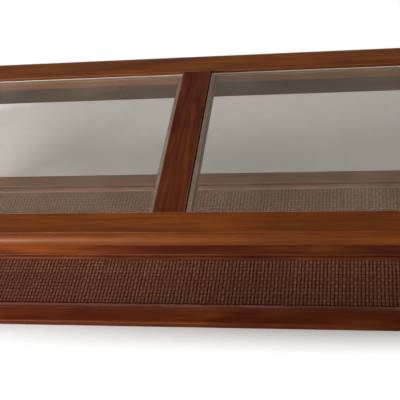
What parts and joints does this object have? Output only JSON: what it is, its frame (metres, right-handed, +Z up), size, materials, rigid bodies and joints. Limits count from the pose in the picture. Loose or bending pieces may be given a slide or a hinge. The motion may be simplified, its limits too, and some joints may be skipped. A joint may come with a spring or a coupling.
{
  "type": "display table",
  "caption": "Long low display table with lift-out glass panes in a wooden top frame, beaded aprons, square legs and an open woven rattan shelf below.",
  "frame": {"origin": "on the floor under the middle of the table", "axes": "+X along the table, +Y from the front to the back, +Z up"},
  "size_m": [1.4, 0.55, 0.44],
  "materials": {
    "lacquered_wood": "glossy reddish-brown lacquer",
    "dowel_wood": "plain beech",
    "rattan": "stained flat cane, over-and-under weave",
    "clear_glass": "clear float glass with ground arrises",
    "bedding_strip": "pale soft strip",
    "screw_steel": "zinc plated",
    "glide_plastic": "moulded"
  },
  "bodies": {
    "table": {"top_rail_front": "lacquered_wood", "top_rail_back": "lacquered_wood", "top_rail_left": "lacquered_wood", "top_rail_right": "lacquered_wood", "top_centre_rail": "lacquered_wood", "mitre_dowels": "dowel_wood", "lap_screws": "screw_steel", "bedding_strips_left": "bedding_strip", "bedding_strips_right": "bedding_strip", "apron_front": "lacquered_wood", "apron_back": "lacquered_wood", "apron_left": "lacquered_wood", "apron_right": "lacquered_wood", "cross_bearer": "lacquered_wood", "top_screws": "screw_steel", "leg_front_left": "lacquered_wood", "leg_front_right": "lacquered_wood", "leg_back_left": "lacquered_wood", "leg_back_right": "lacquered_wood", "foot_glide_front_left": "glide_plastic", "foot_glide_front_right": "glide_plastic", "foot_glide_back_left": "glide_plastic", "foot_glide_back_right": "glide_plastic", "shelf_rail_front": "lacquered_wood", "shelf_rail_back": "lacquered_wood", "shelf_rail_left": "lacquered_wood", "shelf_rail_right": "lacquered_wood", "shelf_batten_left": "lacquered_wood", "shelf_batten_middle": "lacquered_wood", "shelf_batten_right": "lacquered_wood", "woven_panel": "rattan", "shelf_bead_front": "lacquered_wood", "shelf_bead_back": "lacquered_wood", "shelf_bead_left": "lacquered_wood", "shelf_bead_right": "lacquered_wood", "bead_pins": "screw_steel"},
    "left_glass": {"glass_pane_left": "clear_glass"},
    "right_glass": {"glass_pane_right": "clear_glass"}
  },
  "joints": [
    {"name": "left_glass_lift", "type": "slide", "parent": "table", "child": "left_glass", "axis": [0, 0, 1], "range_m": [0, 0.15]},
    {"name": "right_glass_lift", "type": "slide", "parent": "table", "child": "right_glass", "axis": [0, 0, 1], "range_m": [0, 0.15]}
  ]
}
